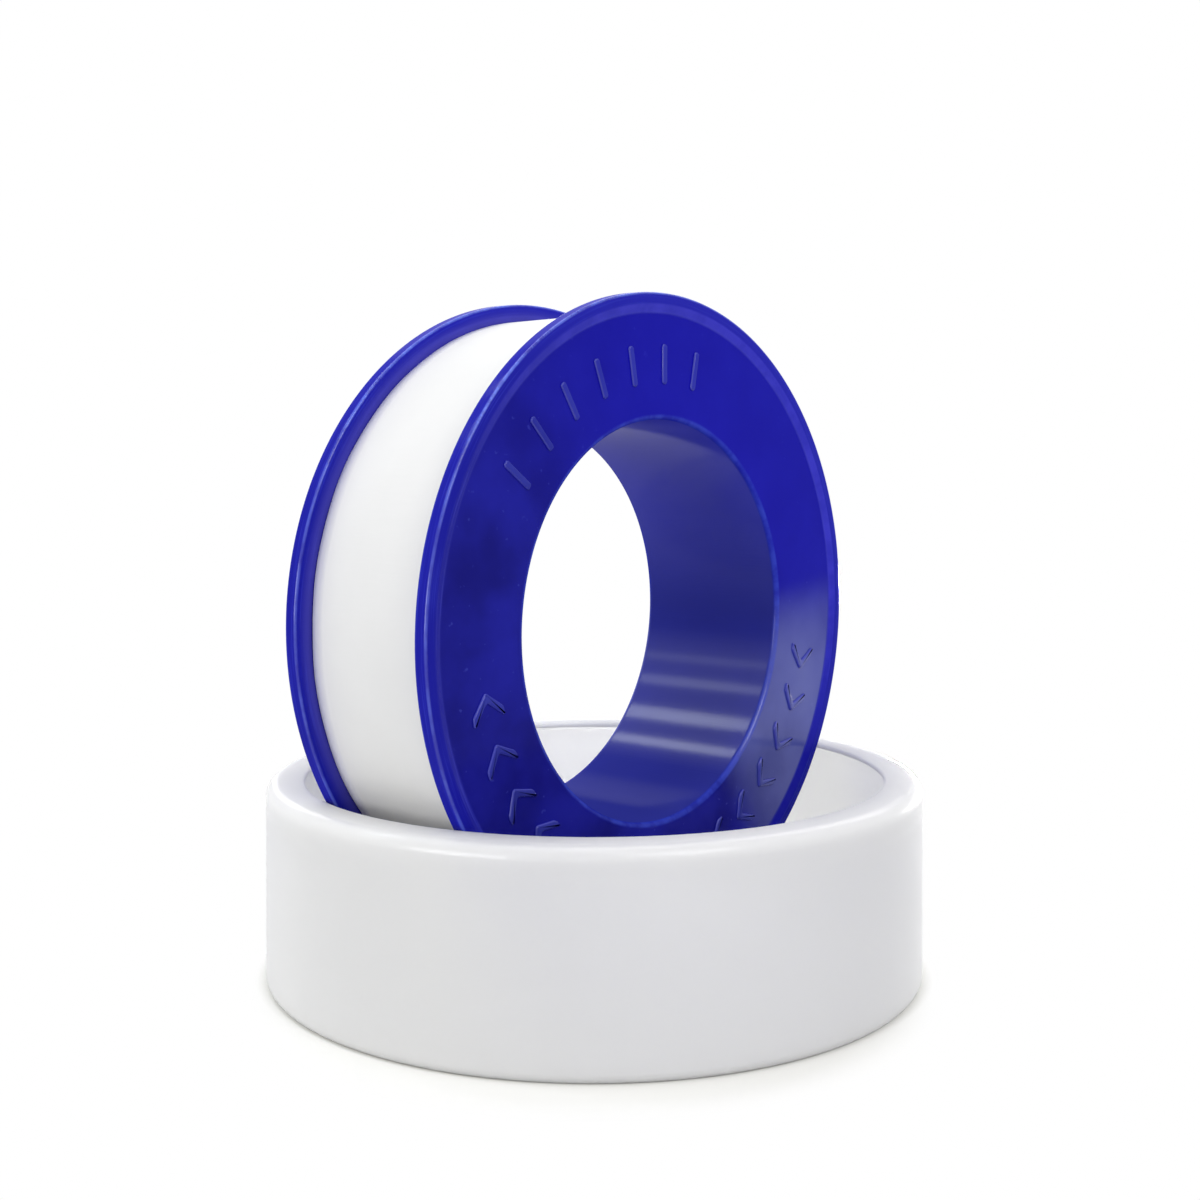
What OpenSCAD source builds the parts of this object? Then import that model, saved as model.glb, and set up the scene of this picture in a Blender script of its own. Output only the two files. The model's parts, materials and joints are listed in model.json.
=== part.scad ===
// A roll of thread seal tape: white tape wound on a blue flanged spool, which stands on edge in the
// mouth of its round white cover. The origin is the middle of the cover's foot, +Z is up, and the
// spool's axis lies along Y. All sizes are in millimetres unless a comment says otherwise.

/* [Tape] */
// Width of the tape
tape_w = 12.7; // [8:0.1:25]
// Thickness of one turn of the tape
tape_t = 0.076; // [0.05:0.001:0.2]
// Length of the tape on the full roll, in metres
tape_len_m = 13.2; // [5:0.1:20]
// Running gap between the outermost turn and the turns below it
lead_clear = 0.03; // [0.01:0.01:0.1]
// How far the tip of the free end stays below the edge of the flanges
tail_inset = 0.5; // [0.2:0.1:0.8]
// Where the free end leaves the roll, in degrees above the horizontal
tail_deg = 35; // [0:1:360]

/* [Spool] */
// Radius of the bore through the hub
bore_r = 16.35; // [8:0.05:25]
// Wall of the hub
hub_wall = 1; // [0.8:0.1:3]
// Gap between the hub and the innermost turn
hub_clear = 0.05; // [0.02:0.01:0.2]
// Thickness of a flange at its rim
flange_t = 1.2; // [0.9:0.1:3]
// How far a flange stands above the wound tape
flange_stand = 1.45; // [1:0.05:4]
// Gap between the edge of the tape and a flange
side_clear = 0.15; // [0.05:0.05:0.5]
// Width of the raised rim of a flange
rim_w = 0.9; // [0.5:0.1:2]
// Width of the slope inside the raised rim
rim_slope_w = 0.7; // [0.3:0.1:2]
// Depth of a flange's face below its rim
face_recess = 0.3; // [0.1:0.05:0.5]
// Rounding of the edges of a flange
edge_r = 0.25; // [0.1:0.05:0.4]
// Rounding at the ends of the bore
bore_edge_r = 0.4; // [0.1:0.05:0.5]

/* [Marks on the front flange] */
// Radial length of a raised mark
mark_len = 3.2; // [1:0.1:5]
// Width of a mark's stroke
mark_w = 0.6; // [0.3:0.1:1]
// Height of a mark above the face
mark_h = 0.2; // [0.05:0.05:0.3]
// How far the point of an arrow mark leads its ends
arrow_lead = 1.5; // [0.5:0.1:2.5]
// Angle from one mark to the next, in degrees
mark_pitch = 11; // [9:0.5:14]
// Number of bars in the upper row
bar_count = 7; // [1:1:9]
// Middle of the upper row, in degrees above the horizontal
bar_mid_deg = 112; // [60:1:120]
// Number of arrows in the lower row
arrow_count = 15; // [1:1:17]
// Middle of the lower row, in degrees above the horizontal
arrow_mid_deg = 270; // [250:1:290]

/* [Shell] */
// Gap between a flange and the wall around it when the spool is put away
shell_clear = 0.15; // [0.1:0.05:1]
// Thickness of the wall
shell_wall = 0.8; // [0.7:0.1:3]
// How much further out the wall stands at its foot than at the lip, as moulded parts have it
shell_draft = 0.25; // [0:0.05:0.5]
// Spare height inside when the spool is put away
end_clear = 0.4; // [0.1:0.1:2]
// Thickness of the lip where it leaves the wall
lip_t = 0.7; // [0.6:0.1:2]
// Thickness of the lip at its edge
lip_edge_t = 0.4; // [0.3:0.05:0.7]
// How far the lip reaches in from the wall
lip_reach = 2.3; // [1.5:0.1:6]
// Rounding of the lip's upper edge
lip_edge_r = 0.15; // [0.05:0.05:0.25]
// Rounding of the outer shoulder
shoulder_r = 1; // [0.3:0.1:1.5]
// Rounding of the outer foot
foot_r = 0.7; // [0.2:0.1:0.9]
// Height of the snap bead inside the open end
bead_h = 0.6; // [0.3:0.1:1.5]
// How far the bead reaches in from the wall
bead_reach = 0.6; // [0.1:0.05:0.8]

/* [Resting place] */
// Clear height left under the spool where it stands on the lip
seat_clear = 0.1; // [0.05:0.05:0.5]

/* [Hidden] */
$fn = 96;

shell_color = [0.93, 0.93, 0.93];
spool_color = [0.13, 0.11, 0.6];
tape_color = [0.97, 0.97, 0.96];

mm_per_m = 1000;
arc_steps = 8;

// The wound turns fill the ring whose area is the tape's length times its thickness
hub_r = bore_r + hub_wall;
roll_r = sqrt(pow(hub_r + hub_clear, 2) + tape_len_m * mm_per_m * tape_t / PI);
lead_in_r = roll_r - tape_t;
wound_r = lead_in_r - lead_clear;

flange_r = roll_r + flange_stand;
flange_gap = tape_w + 2 * side_clear;
spool_w = flange_gap + 2 * flange_t;
face_z = spool_w / 2 - face_recess;
slope_r = flange_r - rim_w - rim_slope_w;
mark_r = (bore_r + bore_edge_r + slope_r) / 2;

shell_in_r = flange_r + shell_clear;
shell_foot_in_r = shell_in_r + shell_draft;
shell_out_r = shell_in_r + shell_wall;
mouth_r = shell_in_r - lip_reach;
shell_h = spool_w + end_clear + lip_t;

// The spool stands with four points of its flanges on the round edge of the mouth, or on the floor
seat_rise = sqrt(pow(flange_r, 2) - pow(mouth_r, 2) + pow(spool_w / 2, 2));
spool_z = max(shell_h + seat_rise, flange_r) + seat_clear;

// The free end leaves the roll straight, up to the circle that its tip runs on
tail_tip_r = flange_r - tail_inset;
tail_len = sqrt(pow(tail_tip_r, 2) - pow(roll_r, 2));
tail_root = 1;
tail_raise = tape_t / 5;

// Points along an arc about a centre, from one angle to another
function arc(centre, r, from_deg, to_deg) =
    [for (i = [0:arc_steps])
        let (a = from_deg + (to_deg - from_deg) * i / arc_steps)
        centre + r * [cos(a), sin(a)]];

function mirrored(points) = [for (i = [len(points) - 1:-1:0]) [points[i].x, -points[i].y]];

// Puts a part that is made about Z on the spool's axis, with its +Z end to the front
module on_spool_axis() {
    translate([0, 0, spool_z])
        rotate([90, 0, 0])
            children();
}

module ring(outer_r, inner_r, width) {
    rotate_extrude()
        translate([inner_r, -width / 2])
            square([outer_r - inner_r, width]);
}

// A straight stroke with round ends between two points
module stroke(p, q) {
    run = q - p;
    translate((p + q) / 2)
        rotate(atan2(run.y, run.x)) {
            square([norm(run), mark_w], center = true);
            for (end = [-1, 1])
                translate([end * norm(run) / 2, 0])
                    circle(d = mark_w);
        }
}

module bar_mark() {
    half = (mark_len - mark_w) / 2;
    stroke([-half, 0], [half, 0]);
}

module arrow_mark() {
    half = (mark_len - mark_w) / 2;
    point = [0, -arrow_lead / 2];
    for (side = [-1, 1])
        stroke(point, [side * half, arrow_lead / 2]);
}

module mark_row(count, mid_deg) {
    for (i = [0:count - 1])
        rotate(mid_deg + (i - (count - 1) / 2) * mark_pitch)
            translate([mark_r, 0])
                children();
}

module marks() {
    translate([0, 0, face_z])
        linear_extrude(mark_h) {
            mark_row(bar_count, bar_mid_deg)
                bar_mark();
            mark_row(arrow_count, arrow_mid_deg)
                arrow_mark();
        }
}

// Half of the spool's section, from the middle of the bore round to the middle of the hub
function spool_half_section() = concat(
    arc([bore_r + bore_edge_r, face_z - bore_edge_r], bore_edge_r, 180, 90),
    [[slope_r, face_z], [flange_r - rim_w, spool_w / 2]],
    arc([flange_r - edge_r, spool_w / 2 - edge_r], edge_r, 90, 0),
    arc([flange_r - edge_r, flange_gap / 2 + edge_r], edge_r, 0, -90),
    [[hub_r, flange_gap / 2]]);

module spool() {
    color(spool_color)
        on_spool_axis() {
            rotate_extrude()
                polygon(concat(spool_half_section(), mirrored(spool_half_section())));
            marks();
        }
}

module wound_tape() {
    color(tape_color)
        on_spool_axis()
            ring(wound_r, hub_r + hub_clear, tape_w);
}

module tape_lead() {
    color(tape_color)
        on_spool_axis() {
            ring(roll_r, lead_in_r, tape_w);
            rotate(tail_deg)
                translate([lead_in_r + tail_raise, -tail_len, -tape_w / 2])
                    cube([tape_t, tail_len + tail_root, tape_w]);
        }
}

// Radius of the cover's inside at a height, which grows from the lip down to the foot
function inside_r(z) = shell_foot_in_r - shell_draft * z / shell_h;

// The cover's section: foot, outer wall, shoulder, lip, inner wall and snap bead
function shell_section() = concat(
    arc([shell_foot_in_r + shell_wall - foot_r, foot_r], foot_r, -90, 0),
    arc([shell_out_r - shoulder_r, shell_h - shoulder_r], shoulder_r, 0, 90),
    arc([mouth_r + lip_edge_r, shell_h - lip_edge_r], lip_edge_r, 90, 180),
    [[mouth_r, shell_h - lip_edge_t], [inside_r(shell_h - lip_t), shell_h - lip_t]],
    [[inside_r(bead_h), bead_h], [shell_foot_in_r - bead_reach, bead_h * 2 / 3]],
    [[shell_foot_in_r - bead_reach, bead_h / 3], [shell_foot_in_r - bead_reach / 2, 0]]);

module shell() {
    color(shell_color)
        rotate_extrude()
            polygon(shell_section());
}

shell();
spool();
wound_tape();
tape_lead();
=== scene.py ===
import json
from math import atan2, cos, hypot, pi, radians, sin

import bmesh
import bpy
from mathutils import Matrix, Vector


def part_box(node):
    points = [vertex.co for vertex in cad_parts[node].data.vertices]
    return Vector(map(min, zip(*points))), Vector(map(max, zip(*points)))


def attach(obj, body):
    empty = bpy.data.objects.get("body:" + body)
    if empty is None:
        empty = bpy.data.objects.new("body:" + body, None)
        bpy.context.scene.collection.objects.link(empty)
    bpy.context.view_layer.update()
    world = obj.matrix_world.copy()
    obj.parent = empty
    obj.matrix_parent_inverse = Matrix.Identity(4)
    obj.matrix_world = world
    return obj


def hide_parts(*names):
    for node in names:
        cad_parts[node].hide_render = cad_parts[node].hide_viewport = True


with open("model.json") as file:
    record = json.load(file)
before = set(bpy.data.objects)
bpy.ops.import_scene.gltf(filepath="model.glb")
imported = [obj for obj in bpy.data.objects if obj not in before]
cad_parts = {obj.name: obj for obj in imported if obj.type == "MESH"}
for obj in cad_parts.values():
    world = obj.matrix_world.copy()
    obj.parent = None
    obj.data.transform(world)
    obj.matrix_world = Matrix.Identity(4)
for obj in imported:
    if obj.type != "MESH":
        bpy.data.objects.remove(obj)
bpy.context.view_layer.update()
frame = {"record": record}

MM = 0.001

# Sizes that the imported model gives
bore_mount = next(m for m in frame["record"]["mounts"] if m["name"] == "spool_bore")
SPOOL_MID = Vector(bore_mount["pos_m"])
BORE_R = bore_mount["dims"]["r_mm"] * MM
FLANGE_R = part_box("spool")[1].x
SPOOL_HALF_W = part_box("spool")[1].y
WOUND_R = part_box("wound_tape")[1].x
TAPE_HALF_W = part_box("wound_tape")[1].y
ROLL_R = -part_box("tape_lead")[0].x
COVER_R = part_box("shell")[1].x
COVER_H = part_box("shell")[1].z

# Sizes of the spool's section
HUB_WALL = 1.0 * MM
FLANGE_T = 1.2 * MM
RIM_W = 0.9 * MM
RIM_SLOPE_W = 0.7 * MM
FACE_RECESS = 0.3 * MM
FLANGE_EDGE_R = 0.18 * MM
SLOPE_EDGE_R = 0.16 * MM
BORE_EDGE_R = 0.4 * MM
HUB_FILLET_R = 0.2 * MM

# Sizes of the raised marks on the front flange
MARK_LEN = 3.2 * MM
MARK_W = 0.6 * MM
MARK_H = 0.2 * MM
MARK_SINK = 0.1 * MM
MARK_CORNER_R = 0.4 * MARK_W
MARK_CORNER_STEPS = 4
MARK_EDGE_R = 0.18 * MM
MARK_EDGE_STEPS = 3
ARROW_LEAD = 1.5 * MM
MARK_PITCH = radians(11)
BAR_COUNT = 7
BAR_MID = radians(112)
ARROW_COUNT = 15
ARROW_MID = radians(270)

# Sizes of the cover's section
COVER_WALL = 0.8 * MM
COVER_DRAFT = 0.25 * MM
LIP_T = 0.7 * MM
LIP_EDGE_T = 0.4 * MM
LIP_REACH = 2.3 * MM
LIP_EDGE_R = 0.15 * MM
LIP_UNDER_R = 0.08 * MM
LIP_ROOT_R = 0.3 * MM
SHOULDER_R = 1.0 * MM
FOOT_R = 0.7 * MM
BEAD_H = 0.6 * MM
BEAD_REACH = 0.6 * MM
BEAD_EDGE_R = 0.1 * MM

# Sizes of the tape's wound turns, its outermost turn and its free end
TURNS_EDGE_R = 0.05 * MM
TAPE_T = 0.076 * MM
LEAD_TURN = radians(359.5)
TAIL_ANGLE = radians(35)
TAIL_FLAT_LEN = 5.0 * MM
TAIL_FLAT_R = 80.0 * MM
TAIL_FLAT_STEPS = 6
TAIL_CURL_LEN = 2.4 * MM
TAIL_CURL_R = 15.0 * MM
TAIL_CURL_STEPS = 8
FILM_STEPS_ACROSS = 10

# How the film's edges wander: waves in a turn, share and phase of each wave
EDGE_WOBBLE = 0.05 * MM
EDGE_WOBBLE_POWER = 4
EDGE_WAVES = ((7, 1.0, 0.0), (19, 0.6, 1.0))

# Fineness of the turned shapes
TURN_STEPS = 288
ROUND_STEPS = 5
HOLD = 0.12 * MM
RING_TOLERANCE = 0.01 * MM

# Blues of the spool
BLUE_DEEP = (0.005, 0.005, 0.19)
BLUE_CLEAR = (0.012, 0.013, 0.33)
BLUE_SPECK = (0.04, 0.05, 0.42)
# Painted light: the front face made lighter and clearer towards its upper right, where the light falls
BLUE_PAINTED_UPPER_LIGHT = (0.006, 0.004, 0.44)
BLUE_BORE = (0.035, 0.042, 0.30)
# Painted reflection: lilac-grey on the upper part of the bore
BLUE_PAINTED_BORE_TOP_REFLECTION = (0.05, 0.055, 0.50)
# Painted reflection: a grey-blue haze over the front face's lower right
BLUE_PAINTED_HAZE = (0.065, 0.09, 0.40)
BLUE_RIM = (0.008, 0.009, 0.34)
# Painted highlight: the flange rim lighter towards its upper side
BLUE_PAINTED_RIM_LIGHT = (0.02, 0.02, 0.47)
BLUE_LINE = (0.03, 0.04, 0.52)
# Painted reflection: a lilac band on the rim's inner slope, towards the top
BLUE_PAINTED_SLOPE_REFLECTION = (0.04, 0.038, 0.57)
# Painted highlight: the raised marks' sides made lighter to glint
BLUE_PAINTED_MARK_GLINT = (0.05, 0.06, 0.5)
# Painted sheen: the raised marks' tops made lighter in patches
BLUE_PAINTED_MARK_SHEEN = (0.06, 0.075, 0.42)
# Painted sheen: the flanges' inner faces lighter and lilac next to the tape
BLUE_PAINTED_INNER_SHEEN = (0.07, 0.065, 0.42)
# Painted highlight: light-blue glint lines along the flanges' corners
BLUE_PAINTED_CORNER_GLINT = (0.09, 0.15, 0.75)
# Painted highlight: a light-blue line round the bore's edge
BLUE_PAINTED_BORE_EDGE_GLINT = (0.04, 0.07, 0.58)

# Whites of the cover and the film
COVER_WHITE = (0.97, 0.96, 0.89)
COVER_WHITE_LIGHT = (0.98, 0.97, 0.90)
FILM_WHITE = (0.73, 0.73, 0.728)
FILM_WHITE_LIGHT = (0.79, 0.79, 0.788)
# Painted light: the film lighter near its edges, against the shade the flanges cast there
FILM_PAINTED_EDGE_LIGHT = (0.9, 0.9, 0.898)
FILM_EDGE_W = 1.6 * MM

# The glossy shoulder: where its gloss starts and is full, down from the top and in from the side
GLOSS_DEPTH = 2.5 * MM
GLOSS_FULL_DEPTH = 1.2 * MM
GLOSS_WIDTH = 1.3 * MM
GLOSS_FULL_WIDTH = 0.9 * MM

# Camera, fitted to the photograph's 1200 by 1200 frame
CAMERA_AZ = radians(-49.18)
CAMERA_EL = radians(4.72)
CAMERA_TARGET = Vector((0.0, -0.62, 31.0)) * MM
CAMERA_DISTANCE = 128.5 * MM
CLIP_START = 10.0 * MM
IMAGE_W = 1200
FOCAL_PX = 1527.8
SENSOR_W = 36.0

# The floor, and where it shows the cover's shadow: all round the foot, and further out to the front
FLOOR_HALF_W = 3.0
PAPER_SPREAD = 0.6
PAPER_SEEN = 0.86
CONTACT_REACH = 1.0 * MM
SHADOW_SHIFT = 6.0 * MM
SHADOW_FADE = 4.0 * MM

# The sky's level for spread light
SKY_LEVEL = 0.61

# Narrow lamps that the bore mirrors as bright bands: turn, rise, width and watts of each
STRIPS = (
    (-82, 22, 0.04, 0.022),
    (-87.8, 33, 0.045, 0.06),
    (-104, 46, 0.07, 0.18),
    (-127, 51.5, 0.05, 0.13),
)
STRIP_DISTANCE = 0.6
STRIP_LEN = 0.09
STRIP_COLOUR = (0.9, 0.97, 1.0)
WHITE = (1.0, 1.0, 1.0)


# Turned shapes

def section_with_holds(corners):
    """The section's points, with two more on each long side so that flat faces stay flat when shaded."""
    points = []
    for this, after in zip(corners, corners[1:] + corners[:1]):
        start, end = Vector(this[:2]), Vector(after[:2])
        side = end - start
        points.append(start)
        first, last = this[2] + HOLD, after[2] + HOLD
        if side.length > first + last + HOLD:
            points.append(start + side.normalized() * first)
            points.append(end - side.normalized() * last)
    return points


def ring_edges(bm, radius, along):
    """The edges of the circle that a corner of the section has drawn."""
    def on_ring(vert):
        off = hypot(vert.co.x, vert.co.y) - radius
        return abs(off) < RING_TOLERANCE and abs(vert.co.z - along) < RING_TOLERANCE
    return [e for e in bm.edges if on_ring(e.verts[0]) and on_ring(e.verts[1])]


def bevelled(bm, edges, radius, steps):
    bmesh.ops.bevel(
        bm, geom=edges, offset=radius, offset_type="OFFSET", segments=steps, profile=0.5,
        affect="EDGES", material=-1)


def turned(corners):
    """A closed ring about Z from the corners of its section, each (radius, along, rounding)."""
    bm = bmesh.new()
    verts = [bm.verts.new((p.x, 0, p.y)) for p in section_with_holds(corners)]
    edges = [bm.edges.new(pair) for pair in zip(verts, verts[1:] + verts[:1])]
    bmesh.ops.spin(
        bm, geom=verts + edges, cent=(0, 0, 0), axis=(0, 0, 1), angle=2 * pi,
        steps=TURN_STEPS, use_merge=True, use_duplicate=False)
    bmesh.ops.recalc_face_normals(bm, faces=bm.faces[:])
    for radius, along, rounding in corners:
        if rounding:
            bevelled(bm, ring_edges(bm, radius, along), rounding, ROUND_STEPS)
    return bm


def mirrored(corners):
    return [(radius, -along, rounding) for radius, along, rounding in reversed(corners)]


# A part made about Z goes on the spool's axis with its +Z end to the front
SPOOL_AXIS = Vector((0, 1, 0))
FRONT = -SPOOL_AXIS
ON_SPOOL_AXIS = Matrix.Translation(SPOOL_MID) @ Matrix.Rotation(radians(90), 4, "X")


def put_on_spool_axis(bm):
    bmesh.ops.transform(bm, matrix=ON_SPOOL_AXIS, verts=bm.verts[:])


# Pieces

def mesh_from(bm, name):
    mesh = bpy.data.meshes.new(name)
    bm.to_mesh(mesh)
    bm.free()
    return mesh


def add_object(name, data):
    added = bpy.data.objects.new(name, data)
    bpy.context.scene.collection.objects.link(added)
    return added


def finish_piece(name, bm, finish, body, node):
    """Makes the object, with its place in its mesh, and ties it to the frame."""
    mesh = mesh_from(bm, name)
    mesh.shade_smooth()
    mesh.materials.append(finish)
    piece = add_object(name, mesh)
    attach(piece, body)
    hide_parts(node)


def raised_mark(cross_lines):
    """A low solid along a line of strokes, with round corners and a rounded top edge, on z = 0."""
    bm = bmesh.new()
    rows = [[bm.verts.new((x, y, -MARK_SINK)) for x, y in line] for line in cross_lines]
    foot = [bm.faces.new((a[0], a[1], b[1], b[0])) for a, b in zip(rows, rows[1:])]
    top = bmesh.ops.extrude_face_region(bm, geom=foot)["geom"]
    top_verts = [g for g in top if isinstance(g, bmesh.types.BMVert)]
    bmesh.ops.translate(bm, verts=top_verts, vec=(0, 0, MARK_SINK + MARK_H))
    bmesh.ops.recalc_face_normals(bm, faces=bm.faces[:])
    upright = [e for e in bm.edges if abs(e.verts[0].co.z - e.verts[1].co.z) > MARK_H]
    bevelled(bm, upright, MARK_CORNER_R, MARK_CORNER_STEPS)
    rim = [e for e in bm.edges if sum(f.normal.z > 0.5 for f in e.link_faces) == 1]
    bevelled(bm, rim, MARK_EDGE_R, MARK_EDGE_STEPS)
    return mesh_from(bm, "mark")


def bar_lines():
    half_len, half_w = MARK_LEN / 2, MARK_W / 2
    return [((x, -half_w), (x, half_w)) for x in (-half_len, half_len)]


def arrow_lines():
    """An arrow head of two strokes whose point leads along -Y."""
    half_len, half_lead = MARK_LEN / 2, ARROW_LEAD / 2
    half_w = MARK_W * hypot(half_len, ARROW_LEAD) / half_len / 2
    middles = ((-half_len, half_lead), (0, -half_lead), (half_len, half_lead))
    return [((x, y - half_w), (x, y + half_w)) for x, y in middles]


def add_mark_row(bm, mark, count, middle, radius, height):
    for i in range(count):
        turn = Matrix.Rotation(middle + (i - (count - 1) / 2) * MARK_PITCH, 4, "Z")
        placed = mark.copy()
        placed.transform(turn @ Matrix.Translation((radius, 0, height)))
        bm.from_mesh(placed)
        bpy.data.meshes.remove(placed)


def make_spool(finish):
    face = SPOOL_HALF_W - FACE_RECESS
    inner = SPOOL_HALF_W - FLANGE_T
    slope_r = FLANGE_R - RIM_W - RIM_SLOPE_W
    half = [
        (BORE_R, face, BORE_EDGE_R),
        (slope_r, face, SLOPE_EDGE_R),
        (FLANGE_R - RIM_W, SPOOL_HALF_W, SLOPE_EDGE_R),
        (FLANGE_R, SPOOL_HALF_W, FLANGE_EDGE_R),
        (FLANGE_R, inner, FLANGE_EDGE_R),
        (BORE_R + HUB_WALL, inner, HUB_FILLET_R),
    ]
    bm = turned(half + mirrored(half))
    mark_r = (BORE_R + BORE_EDGE_R + slope_r) / 2
    add_mark_row(bm, raised_mark(bar_lines()), BAR_COUNT, BAR_MID, mark_r, face)
    add_mark_row(bm, raised_mark(arrow_lines()), ARROW_COUNT, ARROW_MID, mark_r, face)
    put_on_spool_axis(bm)
    finish_piece("blue_spool", bm, finish, "spool", "spool")


def make_wound_tape(finish):
    half = [(BORE_R + HUB_WALL, TAPE_HALF_W, 0), (WOUND_R, TAPE_HALF_W, TURNS_EDGE_R)]
    bm = turned(half + mirrored(half))
    put_on_spool_axis(bm)
    finish_piece("tape_turns", bm, finish, "spool", "wound_tape")


def film_line(bm, middle):
    """A line across the film, as its vertices and then its edges."""
    verts = []
    for i in range(FILM_STEPS_ACROSS + 1):
        across = (2 * i / FILM_STEPS_ACROSS - 1) * TAPE_HALF_W
        verts.append(bm.verts.new(middle + Vector((0, across, 0))))
    return verts + [bm.edges.new(pair) for pair in zip(verts, verts[1:])]


def add_free_end(bm, root, root_mid, out, along):
    """A nearly flat run off the roll from the root line, and then a slight curl outwards."""
    angle = TAIL_FLAT_LEN / TAIL_FLAT_R
    flat = bmesh.ops.spin(
        bm, geom=root, cent=root_mid - out * TAIL_FLAT_R, axis=FRONT, angle=-angle,
        steps=TAIL_FLAT_STEPS)
    flat_end = root_mid + (along * sin(angle) - out * (1 - cos(angle))) * TAIL_FLAT_R
    flat_out = out * cos(angle) + along * sin(angle)
    bmesh.ops.spin(
        bm, geom=flat["geom_last"], cent=flat_end + flat_out * TAIL_CURL_R, axis=FRONT,
        angle=TAIL_CURL_LEN / TAIL_CURL_R, steps=TAIL_CURL_STEPS)


def settle_film(bm, free_end):
    """Sinks the turn by the film's thickness on its way round, and lets the film's edges wander."""
    for vert in bm.verts:
        offset = vert.co - SPOOL_MID
        turn = (atan2(offset.z, offset.x) - TAIL_ANGLE) % (2 * pi)
        if vert not in free_end:
            drop = TAPE_T * turn / (2 * pi)
            vert.co -= Vector((offset.x, 0, offset.z)).normalized() * drop
        edge = abs(offset.y) / TAPE_HALF_W
        wobble = sum(share * sin(waves * turn + phase) for waves, share, phase in EDGE_WAVES)
        vert.co.y += EDGE_WOBBLE * wobble * edge ** EDGE_WOBBLE_POWER


def make_tape_lead(finish):
    """The outermost turn, one strip from the tip of its free end once round the roll."""
    out = Vector((cos(TAIL_ANGLE), 0, sin(TAIL_ANGLE)))
    along = Vector((sin(TAIL_ANGLE), 0, -cos(TAIL_ANGLE)))
    root_mid = SPOOL_MID + out * ROLL_R
    bm = bmesh.new()
    root = film_line(bm, root_mid)
    add_free_end(bm, root, root_mid, out, along)
    free_end = set(bm.verts)
    bmesh.ops.spin(
        bm, geom=root, cent=SPOOL_MID, axis=FRONT, angle=LEAD_TURN, steps=TURN_STEPS)
    settle_film(bm, free_end)
    bmesh.ops.recalc_face_normals(bm, faces=bm.faces[:])
    bmesh.ops.solidify(bm, geom=bm.faces[:], thickness=TAPE_T)
    bmesh.ops.recalc_face_normals(bm, faces=bm.faces[:])
    finish_piece("tape_end_turn", bm, finish, "tape_lead", "tape_lead")


def make_cover(finish):
    top_r = COVER_R - COVER_DRAFT
    inside = top_r - COVER_WALL
    foot_inside = COVER_R - COVER_WALL
    mouth = inside - LIP_REACH
    bead = foot_inside - BEAD_REACH
    section = [
        (COVER_R, 0, FOOT_R),
        (top_r, COVER_H, SHOULDER_R),
        (mouth, COVER_H, LIP_EDGE_R),
        (mouth, COVER_H - LIP_EDGE_T, LIP_UNDER_R),
        (inside, COVER_H - LIP_T, LIP_ROOT_R),
        (foot_inside, BEAD_H, 0),
        (bead, BEAD_H * 2 / 3, BEAD_EDGE_R),
        (bead, BEAD_H / 3, BEAD_EDGE_R),
        (foot_inside - BEAD_REACH / 2, 0, 0),
    ]
    finish_piece("white_cover", turned(section), finish, "shell", "shell")


# Finishes

class Value:
    """One number in a node tree. Arithmetic on it adds Math nodes."""

    def __init__(self, finish, socket):
        self.finish = finish
        self.socket = socket

    def math(self, operation, *others):
        inputs = dict(enumerate((self, *others)))
        node = self.finish.node("ShaderNodeMath", {"operation": operation}, inputs)
        return Value(self.finish, node.outputs[0])

    def flipped(self, operation, other):
        node = self.finish.node("ShaderNodeMath", {"operation": operation}, {0: other, 1: self})
        return Value(self.finish, node.outputs[0])

    def __add__(self, other):
        return self.math("ADD", other)

    def __radd__(self, other):
        return self.flipped("ADD", other)

    def __sub__(self, other):
        return self.math("SUBTRACT", other)

    def __rsub__(self, other):
        return self.flipped("SUBTRACT", other)

    def __mul__(self, other):
        return self.math("MULTIPLY", other)

    def __rmul__(self, other):
        return self.flipped("MULTIPLY", other)

    def __truediv__(self, other):
        return self.math("DIVIDE", other)

    def between(self, low, high):
        """0 below low, 1 above high, and smooth in between."""
        node = self.finish.node(
            "ShaderNodeMapRange", {"interpolation_type": "SMOOTHSTEP"},
            {"Value": self, "From Min": low, "From Max": high})
        return Value(self.finish, node.outputs["Result"])


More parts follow.
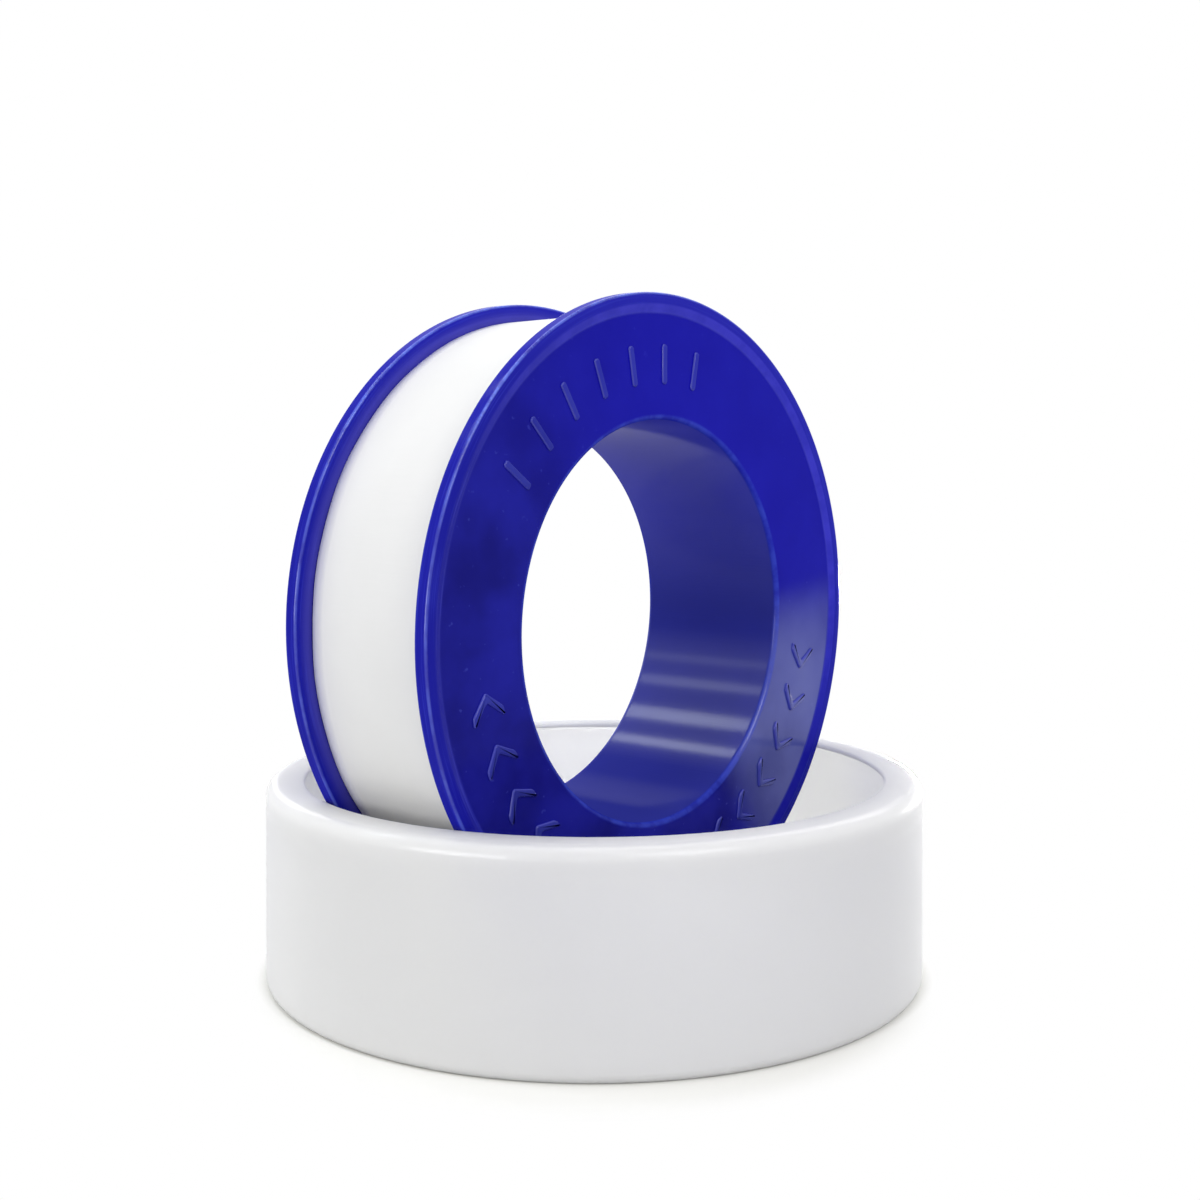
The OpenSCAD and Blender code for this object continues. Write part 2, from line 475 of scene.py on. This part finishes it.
class Finish:
    """A node tree that is being written."""

    # The colour sockets of a Mix node
    MIX_FIRST, MIX_SECOND, MIX_RESULT = 6, 7, 2

    def __init__(self, tree):
        self.tree = tree
        tree.nodes.clear()

    def node(self, kind, settings=None, inputs=None):
        node = self.tree.nodes.new(kind)
        for key, setting in (settings or {}).items():
            setattr(node, key, setting)
        for key, given in (inputs or {}).items():
            socket = node.inputs[key]
            if isinstance(given, Value):
                given = given.socket
            if isinstance(given, bpy.types.NodeSocket):
                self.tree.links.new(given, socket)
            else:
                socket.default_value = given
        return node

    def position(self):
        """Object coordinates as three values, in metres."""
        place = self.node("ShaderNodeTexCoord").outputs["Object"]
        parts = self.node("ShaderNodeSeparateXYZ", None, {0: place}).outputs
        return [Value(self, part) for part in parts]

    def vector(self, x, y, z):
        return self.node("ShaderNodeCombineXYZ", None, {0: x, 1: y, 2: z}).outputs[0]

    def noise(self, vector, scale, detail=3.0, roughness=0.5):
        node = self.node(
            "ShaderNodeTexNoise", {"noise_dimensions": "3D"},
            {"Vector": vector, "Scale": scale, "Detail": detail, "Roughness": roughness})
        return Value(self, node.outputs[0])

    def mix(self, factor, first, second):
        """The first colour, a tuple or a socket, going over to the second, a tuple."""
        if isinstance(first, tuple):
            first = (*first, 1)
        node = self.node(
            "ShaderNodeMix", {"data_type": "RGBA"},
            {"Factor": factor, self.MIX_FIRST: first, self.MIX_SECOND: (*second, 1)})
        return node.outputs[self.MIX_RESULT]

    def bump(self, height, distance, strength):
        return self.node(
            "ShaderNodeBump", None,
            {"Height": height, "Distance": distance, "Strength": strength}).outputs["Normal"]

    def surface(self, shader):
        self.node("ShaderNodeOutputMaterial", None, {"Surface": shader.outputs[0]})


def new_material(name):
    material = bpy.data.materials.new(name)
    material.use_nodes = True
    return material, Finish(material.node_tree)


class SpoolPlace:
    """Where a point of the spool or its tape lies: from the axis, round it and along it, in mm."""

    def __init__(self, finish):
        self.finish = finish
        x, y, z = [part / MM for part in finish.position()]
        up = z - SPOOL_MID.z / MM
        self.radius = (x * x + up * up).math("SQRT")
        self.along = y
        self.beside = y.math("ABSOLUTE")
        self.across = x / self.radius
        self.up = up / self.radius

    def facing(self, degrees, low, high):
        """1 in that direction from the axis, counted from the right as seen from the front.

        It starts where the cosine of the angle to that direction passes low, and is full at high.
        """
        cosine = self.across * cos(radians(degrees)) + self.up * sin(radians(degrees))
        return cosine.between(low, high)

    def noise(self, round_scale, along, detail=3.0, roughness=0.5):
        """Noise that closes on itself round the axis: round_scale features a radian, by the value along."""
        vector = self.finish.vector(self.across * round_scale, self.up * round_scale, along)
        return self.finish.noise(vector, 1.0, detail, roughness)


class SpoolAreas:
    """Masks for the spool's faces and edges. The widths of their soft borders are in mm."""

    def __init__(self, place):
        radius, beside = place.radius, place.beside
        bore_r, roll_r, flange_r = BORE_R / MM, ROLL_R / MM, FLANGE_R / MM
        rim_r = flange_r - RIM_W / MM
        slope_r = rim_r - RIM_SLOPE_W / MM
        outer = SPOOL_HALF_W / MM
        inner = outer - FLANGE_T / MM
        face = outer - FACE_RECESS / MM
        mark_top = face + MARK_H / MM

        self.rim = radius.between(slope_r - 0.15, slope_r + 0.15)
        self.slope = self.rim * (1 - radius.between(rim_r - 0.1, rim_r + 0.1))
        on_edge = radius.between(flange_r - 0.24, flange_r - 0.08)
        at_outer = beside.between(outer - 0.22, outer - 0.08)
        at_inner = 1 - beside.between(inner + 0.08, inner + 0.22)
        self.corner = on_edge * (at_outer + at_inner)
        by_bore = 1 - radius.between(bore_r + 0.25, bore_r + 0.5)
        self.bore_edge = by_bore * beside.between(face - 0.5, face - 0.2)
        self.bore = (1 - radius.between(bore_r + 0.02, bore_r + 0.1)) * (1 - self.bore_edge)
        mark = beside.between(face + 0.01, face + 0.06) * (1 - self.rim)
        self.mark_top = mark * beside.between(mark_top - 0.07, mark_top - 0.01)
        self.mark_side = mark - self.mark_top
        self.face = (1 - self.bore) * (1 - self.rim) * (1 - self.mark_side)
        inside = (1 - beside.between(inner + 0.02, inner + 0.12)) * (1 - self.bore)
        # painted sheen: the flanges' inner faces next to the tape
        self.painted_inner_sheen = inside * (1 - radius.between(roll_r + 0.1, roll_r + 1.2))


class SpoolMarks:
    """Clouds, lines and nicks on the spool's plastic, with patches and a haze used for painted sheen. A
    scale counts features in a metre.
    """

    def __init__(self, finish, place, areas):
        radius, along = place.radius, place.along
        solid = finish.vector(*finish.position())
        self.cloud = finish.noise(solid, scale=160.0)
        self.grain = finish.noise(solid, scale=2400.0, detail=2.0)
        self.specks = finish.noise(solid, scale=1500.0, detail=2.0).between(0.68, 0.76)
        nicks = finish.noise(solid, scale=2200.0, detail=4.0, roughness=0.65).between(0.45, 0.62)
        self.lines = place.noise(3.0, (along + radius) * 5.0, detail=2.0, roughness=0.6)
        self.streaks = place.noise(110.0, along * 0.15, detail=2.0)
        # patches that break up the painted glints, reflection and edge highlights
        self.sheen_patches = place.noise(9.0, along * 0.8, roughness=0.6).between(0.35, 0.65)
        # nicks on the upper left: a bump there, and painted glints in the colour
        self.nicks_and_glints = nicks * place.facing(122, 0.85, 0.98)
        # painted reflection: the haze on the front face's lower right, which also gets more gloss
        self.painted_haze = areas.face * place.facing(-27, 0.82, 0.98) * (0.5 + self.cloud)


def blue_colour(finish, place, areas, marks):
    """The blues in layers, each over those before it."""
    upper = place.facing(60, -0.2, 0.9)
    bore_top = place.facing(75, 0.2, 0.95)
    # the upper left, where the painted glints on the corners are strongest
    glint_side = place.facing(110, 0.5, 1.0)
    sheen_patches = marks.sheen_patches
    corner_glint = 0.05 + 0.35 * sheen_patches + 0.4 * glint_side * sheen_patches + 0.5 * marks.nicks_and_glints
    layers = (
        (0.5 * marks.specks * areas.face, BLUE_SPECK),
        # painted light: the front face lighter towards its upper right
        (0.7 * upper * areas.face, BLUE_PAINTED_UPPER_LIGHT),
        (0.8 * areas.bore, BLUE_BORE),
        # painted reflection: lilac-grey on the bore's upper part
        (areas.bore * bore_top, BLUE_PAINTED_BORE_TOP_REFLECTION),
        # painted reflection: the haze on the front face's lower right
        (0.6 * marks.painted_haze, BLUE_PAINTED_HAZE),
        (0.8 * areas.rim, BLUE_RIM),
        # painted highlight: the rim lighter towards its upper side
        (0.7 * areas.rim * upper, BLUE_PAINTED_RIM_LIGHT),
        (0.5 * areas.rim * marks.lines.between(0.5, 0.75), BLUE_LINE),
        # painted reflection: lilac on the rim's inner slope, towards the top
        (areas.slope * upper * (0.5 + 0.5 * sheen_patches), BLUE_PAINTED_SLOPE_REFLECTION),
        # painted highlight: lighter sides of the marks
        (0.7 * areas.mark_side, BLUE_PAINTED_MARK_GLINT),
        # painted sheen: lighter tops of the marks
        (areas.mark_top * (0.15 + 0.5 * marks.cloud), BLUE_PAINTED_MARK_SHEEN),
        # painted sheen: the flanges' inner faces lighter next to the tape
        (0.7 * areas.painted_inner_sheen, BLUE_PAINTED_INNER_SHEEN),
        # painted highlight: light-blue glint lines on the flanges' corners, strongest at the upper left
        (areas.corner * corner_glint, BLUE_PAINTED_CORNER_GLINT),
        # painted highlight: the light-blue line round the bore's edge
        (areas.bore_edge * (0.25 + 0.45 * sheen_patches), BLUE_PAINTED_BORE_EDGE_GLINT),
    )
    colour = finish.mix(marks.cloud.between(0.25, 0.75), BLUE_DEEP, BLUE_CLEAR)
    for cover, blue in layers:
        colour = finish.mix(cover, colour, blue)
    return colour


def blue_gloss(place, areas, marks):
    """How glossy the plastic is: most on its corners, on the marks' sides and on the face's lower right,
    where the haze is painted.
    """
    upper = place.facing(60, -0.2, 0.9)
    bore_gloss = 0.4 * place.facing(60, 0.4, 0.95)
    bore_gloss = bore_gloss + 0.45 * place.facing(-33, 0.9, 0.97)
    bore_gloss = bore_gloss + 0.08 * place.facing(-75, 0.985, 1.0)
    gloss = 0.14 * (1 - areas.bore) + areas.bore * bore_gloss + 0.1 * areas.slope * upper
    return gloss + 0.9 * areas.corner + 0.9 * areas.mark_side + 0.8 * marks.painted_haze


def blue_moulding():
    """Deep blue plastic: cloudy faces, light-blue highlights painted on its edges, fine turned lines and a
    streaky bore.
    """
    material, finish = new_material("blue_moulding")
    place = SpoolPlace(finish)
    areas = SpoolAreas(place)
    marks = SpoolMarks(finish, place, areas)
    height = marks.cloud + 0.25 * marks.grain + 0.8 * areas.rim * marks.lines
    height = height + areas.bore * marks.streaks + 2.0 * areas.corner * marks.nicks_and_glints
    shader = finish.node("ShaderNodeBsdfPrincipled", None, {
        "Base Color": blue_colour(finish, place, areas, marks),
        "Roughness": 0.38 + 0.12 * marks.cloud,
        "Specular IOR Level": 0.0,
        "Coat Weight": blue_gloss(place, areas, marks),
        "Coat Roughness": 0.14,
        "Normal": finish.bump(height, distance=0.02 * MM, strength=0.6),
    })
    finish.surface(shader)
    return material


def white_moulding():
    """White plastic that lets light through its thin wall, matt on its lip and glossy on its shoulder."""
    material, finish = new_material("white_moulding")
    x, y, z = finish.position()
    cloud = finish.noise(finish.vector(x, y, z), scale=60.0, detail=2.0)
    flow = finish.noise(finish.vector(x, y, z * 0.2), scale=220.0, detail=2.0)
    radius = (x * x + y * y).math("SQRT")
    near_top = z.between(COVER_H - GLOSS_DEPTH, COVER_H - GLOSS_FULL_DEPTH)
    outer = radius.between(COVER_R - GLOSS_WIDTH, COVER_R - GLOSS_FULL_WIDTH)
    shoulder = near_top * outer
    lip_top = near_top * (1 - outer)
    shader = finish.node("ShaderNodeBsdfPrincipled", None, {
        "Base Color": finish.mix(cloud, COVER_WHITE, COVER_WHITE_LIGHT),
        "Roughness": 0.3 + 0.1 * cloud + 0.5 * lip_top,
        "Specular IOR Level": 0.12,
        "Coat Weight": 0.1 * (1 - lip_top) + 0.5 * shoulder,
        "Coat Roughness": 0.1,
        "Subsurface Weight": 1.0,
        "Subsurface Radius": WHITE,
        "Subsurface Scale": 4.0 * MM,
        "Normal": finish.bump(flow + cloud, distance=0.015 * MM, strength=0.5),
    })
    finish.surface(shader)
    return material


def white_film():
    """Matt white film: soft mottling, fine lengthwise lines, a few cross creases, and edges painted lighter
    where the flanges shade them.
    """
    material, finish = new_material("white_seal_film")
    place = SpoolPlace(finish)
    cloud = place.noise(3.0, place.along * 0.16, roughness=0.55)
    creases = place.noise(22.0, place.along * 0.14, roughness=0.6)
    lines = place.noise(1.2, place.along * 2.4, detail=2.0)
    grain = place.noise(220.0, place.along * 9.0, detail=2.0)
    # painted light: lighter film near its edges, where the flanges shade it
    edge = place.beside.between((TAPE_HALF_W - FILM_EDGE_W) / MM, TAPE_HALF_W / MM)
    colour = finish.mix(cloud, FILM_WHITE, FILM_WHITE_LIGHT)
    height = 1.6 * cloud + 0.5 * creases + 0.5 * lines + 0.06 * grain
    shader = finish.node("ShaderNodeBsdfPrincipled", None, {
        "Base Color": finish.mix(edge, colour, FILM_PAINTED_EDGE_LIGHT),
        "Roughness": 0.5 + 0.14 * cloud,
        "Specular IOR Level": 0.3,
        "Normal": finish.bump(height, distance=0.05 * MM, strength=0.6),
    })
    finish.surface(shader)
    return material


# Studio

def seen_mask(finish):
    """1 for what the camera sees straight on, mirrored or through glass, and 0 for light that spreads."""
    path = finish.node("ShaderNodeLightPath").outputs
    names = ("Is Camera Ray", "Is Glossy Ray", "Is Transmission Ray")
    straight, mirrored_ray, through = [Value(finish, path[name]) for name in names]
    return straight.math("MAXIMUM", mirrored_ray).math("MAXIMUM", through)


def pale_floor():
    """Paper that shows the cover's shadow near its foot, and is plain white further out."""
    material, finish = new_material("pale_floor")
    x, y, z = finish.position()
    seen = seen_mask(finish)
    clear = (x * x + y * y).math("SQRT").between(COVER_R, COVER_R + CONTACT_REACH)
    x = x - sin(CAMERA_AZ) * SHADOW_SHIFT
    y = y + cos(CAMERA_AZ) * SHADOW_SHIFT
    past_front = (x * x + y * y).math("SQRT").between(COVER_R - SHADOW_FADE, COVER_R)
    plain = seen * clear.math("MINIMUM", past_front)
    paper = finish.mix(seen, (PAPER_SPREAD,) * 3, (PAPER_SEEN,) * 3)
    lit = finish.node("ShaderNodeBsdfDiffuse", None, {"Color": paper})
    white = finish.node("ShaderNodeEmission", None, {"Color": (*WHITE, 1), "Strength": 1.0})
    blend = finish.node(
        "ShaderNodeMixShader", None, {0: plain, 1: lit.outputs[0], 2: white.outputs[0]})
    finish.surface(blend)
    return material


def make_floor():
    bm = bmesh.new()
    bmesh.ops.create_grid(bm, x_segments=1, y_segments=1, size=FLOOR_HALF_W)
    mesh = mesh_from(bm, "floor")
    mesh.materials.append(pale_floor())
    add_object("floor", mesh)


def make_world():
    world = bpy.data.worlds.new("studio")
    world.use_nodes = True
    finish = Finish(world.node_tree)
    strength = SKY_LEVEL + (1 - SKY_LEVEL) * seen_mask(finish)
    sky = finish.node("ShaderNodeBackground", None, {"Color": (*WHITE, 1), "Strength": strength})
    finish.node("ShaderNodeOutputWorld", None, {"Surface": sky.outputs[0]})
    bpy.context.scene.world = world


def direction(azimuth, elevation):
    """From the object to a place at that azimuth, counted from the front to the right, and elevation."""
    level = cos(elevation)
    return Vector((sin(azimuth) * level, -cos(azimuth) * level, sin(elevation)))


def beside_camera(turn, rise, distance):
    """A place so many degrees to the right of the camera and above the level, seen from the object."""
    return CAMERA_TARGET + direction(CAMERA_AZ + radians(turn), radians(rise)) * distance


def add_soft_box(name, place, size, watts, colour=WHITE):
    """A lamp that faces the object, with its first size along the spool's axis as nearly as can be."""
    lamp = bpy.data.lights.new(name, "AREA")
    lamp.shape = "RECTANGLE"
    lamp.size, lamp.size_y = size
    lamp.energy = watts
    lamp.color = colour
    soft_box = add_object(name, lamp)
    soft_box.location = place
    out = (place - CAMERA_TARGET).normalized()
    along = (SPOOL_AXIS - out * out.dot(SPOOL_AXIS)).normalized()
    soft_box.rotation_euler = Matrix((along, out.cross(along), out)).transposed().to_euler()


def add_lamps():
    """Soft boxes round the object, one low behind the cover's wall, and the strips for the bore."""
    add_soft_box("key_box", beside_camera(turn=-45, rise=5, distance=0.8), size=(0.5, 0.3), watts=2.4)
    add_soft_box("front_box", beside_camera(turn=35, rise=35, distance=0.6), size=(0.3, 0.3), watts=1.1)
    add_soft_box("top_box", Vector((0.0, 0.1, 0.8)), size=(0.5, 0.5), watts=1.4)
    add_soft_box("back_box", beside_camera(turn=180, rise=35, distance=0.9), size=(1.2, 0.6), watts=2.5)
    add_soft_box("wall_box", beside_camera(turn=150, rise=-3.5, distance=0.4), size=(0.2, 0.008), watts=1.1)
    for i, (turn, rise, width, watts) in enumerate(STRIPS):
        place = beside_camera(turn, rise, STRIP_DISTANCE)
        add_soft_box(f"strip_box_{i}", place, (STRIP_LEN, width), watts, STRIP_COLOUR)


def make_camera():
    data = bpy.data.cameras.new("camera")
    data.sensor_width = SENSOR_W
    data.lens = SENSOR_W * FOCAL_PX / IMAGE_W
    data.clip_start = CLIP_START
    camera = add_object("camera", data)
    back = direction(CAMERA_AZ, CAMERA_EL)
    camera.location = CAMERA_TARGET + back * CAMERA_DISTANCE
    camera.rotation_euler = back.to_track_quat("Z", "Y").to_euler()
    bpy.context.scene.camera = camera


make_camera()
film = white_film()
make_cover(white_moulding())
make_spool(blue_moulding())
make_wound_tape(film)
make_tape_lead(film)
make_floor()
make_world()
add_lamps()
bpy.context.scene.view_settings.view_transform = "Standard"
